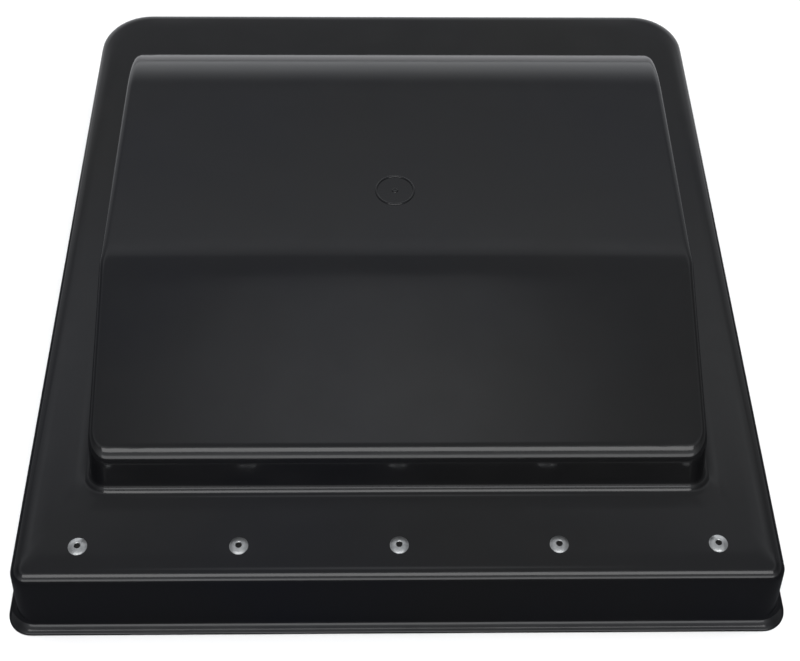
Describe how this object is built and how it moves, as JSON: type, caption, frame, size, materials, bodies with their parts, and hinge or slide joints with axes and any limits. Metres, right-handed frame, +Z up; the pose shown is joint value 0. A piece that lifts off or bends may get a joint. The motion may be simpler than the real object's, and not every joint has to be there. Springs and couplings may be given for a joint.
{
  "type": "roof vent cover",
  "caption": "Moulded wedge-shaped lid for a square roof vent, with skirt and lip, on a riveted strip hinge, with an operator track and foam seal.",
  "frame": {"origin": "centre of the lip's footprint, on the plane the lip stands on", "axes": "+X along the hinge, +Y from the hinge edge to the free edge, +Z up out of the dome"},
  "size_m": [0.398, 0.432, 0.1005],
  "materials": {
    "smoke_plastic": "gloss smoke-black moulding",
    "rivet_aluminium": "plain aluminium rivet",
    "hinge_metal": "galvanised strip",
    "pin_steel": "drawn steel",
    "track_metal": "mill-finish extrusion",
    "screw_zinc": "zinc plated",
    "foam": "closed-cell foam strip"
  },
  "bodies": {
    "hinge_base": {"base_hinge_leaf": "hinge_metal", "hinge_pin": "pin_steel"},
    "lid": {"lid_shell": "smoke_plastic", "lid_hinge_leaf": "hinge_metal", "operator_track": "track_metal", "seal_left": "foam", "seal_right": "foam", "seal_back": "foam", "rivet_1": "rivet_aluminium", "rivet_washer_1": "hinge_metal", "rivet_mandrel_1": "pin_steel", "rivet_2": "rivet_aluminium", "rivet_washer_2": "hinge_metal", "rivet_mandrel_2": "pin_steel", "rivet_3": "rivet_aluminium", "rivet_washer_3": "hinge_metal", "rivet_mandrel_3": "pin_steel", "rivet_4": "rivet_aluminium", "rivet_washer_4": "hinge_metal", "rivet_mandrel_4": "pin_steel", "rivet_5": "rivet_aluminium", "rivet_washer_5": "hinge_metal", "rivet_mandrel_5": "pin_steel", "track_screw_1": "screw_zinc", "track_screw_2": "screw_zinc", "track_screw_3": "screw_zinc", "track_screw_4": "screw_zinc"}
  },
  "joints": [
    {"name": "lid_hinge", "type": "hinge", "parent": "hinge_base", "child": "lid", "pos_m": [0, -0.166, 0.0402], "axis": [1, 0, 0], "range_deg": [0, 45]}
  ]
}
